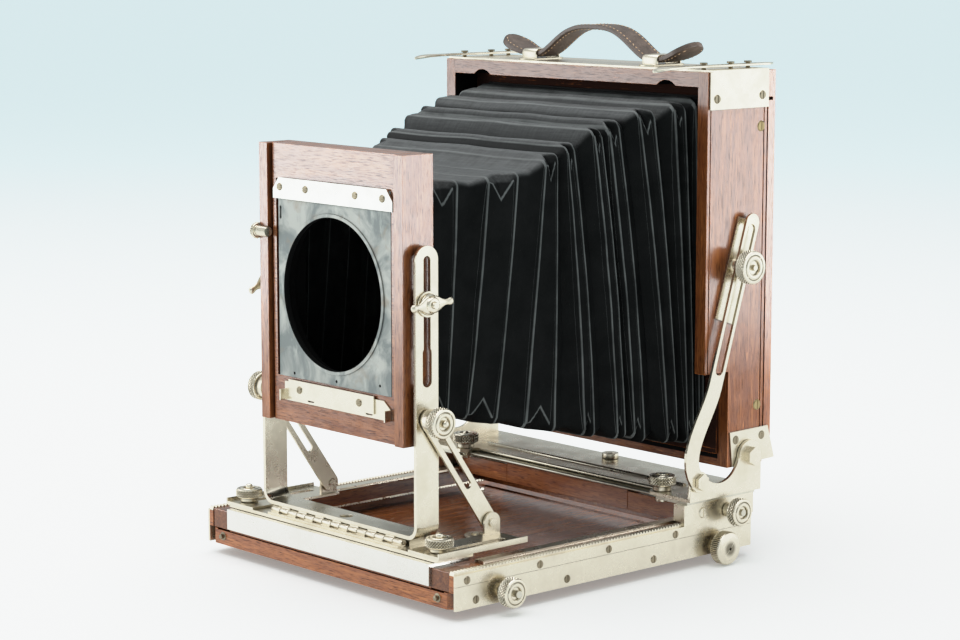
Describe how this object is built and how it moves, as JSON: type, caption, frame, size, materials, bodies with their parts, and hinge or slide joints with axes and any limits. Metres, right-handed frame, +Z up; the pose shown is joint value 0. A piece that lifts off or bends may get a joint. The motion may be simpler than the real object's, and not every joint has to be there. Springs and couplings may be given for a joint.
{
  "type": "folding view camera",
  "caption": "Folding wooden view camera: flat bed with focusing rails, hinged front standard, open lens board, black pleated bellows, tilting rear case with ground glass and strap handle.",
  "frame": {"origin": "axis of the tripod bush, level with the underside of the bed", "axes": "X across the camera, -Y towards the lens side, +Y towards the ground glass, +Z up"},
  "size_m": [0.262, 0.2713, 0.3176],
  "materials": {
    "mahogany": "varnished, worn at the edges",
    "dark_wood": "oiled end grain",
    "nickel": "satin nickel plate with light wear",
    "dark_nickel": "aged nickel",
    "brass": "aged brass",
    "board_metal": "mottled grey sheet",
    "glass": "ground on one face",
    "leather": "brown strap leather",
    "bellows_cloth": "black pleated leathercloth"
  },
  "bodies": {
    "bed": {"bed_tray": "mahogany", "side_plates": "nickel", "rack_strips": "nickel", "bed_screws": "nickel", "tripod_block": "dark_wood", "tripod_bush": "nickel"},
    "bed_lock": {"bed_lock_knobs": "nickel"},
    "extension": {"extension_frame": "mahogany", "extension_blocks": "dark_wood", "extension_plate": "nickel", "extension_strips": "nickel", "extension_racks": "nickel"},
    "front_focus": {"front_pinion": "dark_nickel", "front_focus_knobs": "nickel"},
    "front_swing": {"swing_plate": "nickel", "hinge_pin": "nickel", "bracket_screws": "nickel"},
    "brackets": {"strut_brackets": "nickel"},
    "struts": {"struts": "nickel"},
    "strut_lock": {"strut_knobs": "nickel"},
    "yoke": {"yoke": "nickel"},
    "rise": {"pivot_studs": "nickel"},
    "wing_left": {"wing_nut_left": "nickel"},
    "wing_right": {"wing_nut_right": "nickel"},
    "lens_standard": {"lens_frame": "mahogany", "bellows_front": "bellows_cloth", "bellows_mid": "bellows_cloth"},
    "panel": {"lens_panel": "mahogany", "board_clip": "nickel", "lens_board": "board_metal", "panel_screws": "nickel", "latch_cover": "nickel"},
    "latch": {"board_latch": "nickel"},
    "panel_lock": {"panel_lock_knob": "brass"},
    "carriage": {"carriage_blocks": "nickel", "carriage_bar": "mahogany", "carriage_plate": "dark_nickel", "carriage_bolts": "nickel"},
    "rear_focus": {"rear_pinion": "dark_nickel", "rear_focus_knobs": "nickel"},
    "rear_swing": {"rear_swing_plate": "nickel", "pivot_bolts": "nickel"},
    "swing_lock_l": {"swing_lock_left": "nickel"},
    "swing_lock_r": {"swing_lock_right": "nickel"},
    "case": {"case_frame": "mahogany", "case_top_plate": "nickel", "case_side_plates": "nickel", "case_screws": "nickel", "brass_screws": "brass", "back_frame": "mahogany", "handle_strap": "leather", "handle_brackets": "nickel", "bellows_rear": "bellows_cloth", "bellows_case": "bellows_cloth"},
    "arms": {"tilt_arms": "nickel"},
    "arm_lock": {"arm_knobs": "nickel"},
    "glass_back": {"glass_frame": "mahogany", "ground_glass": "glass", "back_springs": "nickel"},
    "bars": {"latch_bars": "nickel"}
  },
  "joints": [
    {"name": "front_extension", "type": "slide", "parent": "bed", "child": "extension", "axis": [0, -1, 0], "range_m": [0, 0.13], "deforming": ["bellows_mid"]},
    {"name": "front_focus_turn", "type": "hinge", "parent": "bed", "child": "front_focus", "pos_m": [0, -0.084, 0.0064], "axis": [1, 0, 0], "range_deg": [0, 2329]},
    {"name": "bed_lock_turn", "type": "hinge", "parent": "bed", "child": "bed_lock", "pos_m": [0, 0.089, 0.004], "axis": [1, 0, 0], "range_deg": [-90, 90]},
    {"name": "front_swing_turn", "type": "hinge", "parent": "extension", "child": "front_swing", "pos_m": [0, -0.103, 0.024], "axis": [0, 0, 1], "range_deg": [-10, 10]},
    {"name": "front_fold", "type": "hinge", "parent": "front_swing", "child": "yoke", "pos_m": [0, -0.1101, 0.0275], "axis": [1, 0, 0], "range_deg": [0, 90]},
    {"name": "bracket_slide", "type": "slide", "parent": "front_swing", "child": "brackets", "axis": [0, -1, 0], "range_m": [0, 0.0459]},
    {"name": "strut_turn", "type": "hinge", "parent": "brackets", "child": "struts", "pos_m": [0, -0.057, 0.034], "axis": [1, 0, 0], "range_deg": [0, 53.9]},
    {"name": "strut_lock_turn", "type": "hinge", "parent": "struts", "child": "strut_lock", "pos_m": [0, -0.10135, 0.098], "axis": [1, 0, 0], "range_deg": [-180, 180]},
    {"name": "front_rise", "type": "slide", "parent": "yoke", "child": "rise", "axis": [0, 0, 1], "range_m": [-0.04, 0.024]},
    {"name": "wing_left_turn", "type": "hinge", "parent": "rise", "child": "wing_left", "pos_m": [-0.075, -0.10135, 0.1635], "axis": [1, 0, 0], "range_deg": [-120, 120]},
    {"name": "wing_right_turn", "type": "hinge", "parent": "rise", "child": "wing_right", "pos_m": [0.075, -0.10135, 0.1635], "axis": [1, 0, 0], "range_deg": [-120, 120]},
    {"name": "lens_tilt", "type": "hinge", "parent": "rise", "child": "lens_standard", "pos_m": [0, -0.10135, 0.1635], "axis": [1, 0, 0], "range_deg": [-15, 15], "deforming": ["bellows_front"]},
    {"name": "panel_rise", "type": "slide", "parent": "lens_standard", "child": "panel", "axis": [0, 0, 1], "range_m": [0, 0.02]},
    {"name": "latch_slide", "type": "slide", "parent": "panel", "child": "latch", "axis": [1, 0, 0], "range_m": [-0.003, 0.003]},
    {"name": "panel_lock_turn", "type": "hinge", "parent": "lens_standard", "child": "panel_lock", "pos_m": [-0.066, -0.1151, 0.194], "axis": [1, 0, 0], "range_deg": [-180, 180]},
    {"name": "rear_slide", "type": "slide", "parent": "bed", "child": "carriage", "axis": [0, -1, 0], "range_m": [0, 0.055], "deforming": ["bellows_rear"]},
    {"name": "rear_focus_turn", "type": "hinge", "parent": "carriage", "child": "rear_focus", "pos_m": [0, 0.097, 0.0252], "axis": [1, 0, 0], "range_deg": [-986, 0]},
    {"name": "rear_swing_turn", "type": "hinge", "parent": "carriage", "child": "rear_swing", "pos_m": [0, 0.112, 0.035], "axis": [0, 0, 1], "range_deg": [-6, 6]},
    {"name": "swing_lock_left_turn", "type": "hinge", "parent": "rear_swing", "child": "swing_lock_l", "pos_m": [-0.0885, 0.068, 0.04], "axis": [0, 0, 1], "range_deg": [-180, 180]},
    {"name": "swing_lock_right_turn", "type": "hinge", "parent": "rear_swing", "child": "swing_lock_r", "pos_m": [0.0885, 0.068, 0.04], "axis": [0, 0, 1], "range_deg": [-180, 180]},
    {"name": "case_tilt", "type": "hinge", "parent": "rear_swing", "child": "case", "pos_m": [0, 0.1125, 0.0565], "axis": [1, 0, 0], "range_deg": [-12, 12], "deforming": ["bellows_case"]},
    {"name": "arm_turn", "type": "hinge", "parent": "rear_swing", "child": "arms", "pos_m": [0, 0.067, 0.047], "axis": [1, 0, 0], "range_deg": [-10.5, 10.5]},
    {"name": "arm_lock_turn", "type": "hinge", "parent": "case", "child": "arm_lock", "pos_m": [0, 0.101, 0.172], "axis": [1, 0, 0], "range_deg": [-180, 180]},
    {"name": "glass_back_slide", "type": "slide", "parent": "case", "child": "glass_back", "axis": [0, 1, 0], "range_m": [0, 0.01]},
    {"name": "latch_bar_slide", "type": "slide", "parent": "case", "child": "bars", "axis": [0, 1, 0], "range_m": [-0.005, 0.013]}
  ],
  "couplings": [
    {"joint": "front_focus_turn", "follows": "front_extension", "rad_per_m": 312.5},
    {"joint": "bracket_slide", "follows": "front_fold", "m_per_rad": 0.02914},
    {"joint": "strut_turn", "follows": "front_fold", "ratio": 0.5958},
    {"joint": "rear_focus_turn", "follows": "rear_slide", "rad_per_m": -312.5},
    {"joint": "arm_turn", "follows": "case_tilt", "ratio": 0.85}
  ]
}
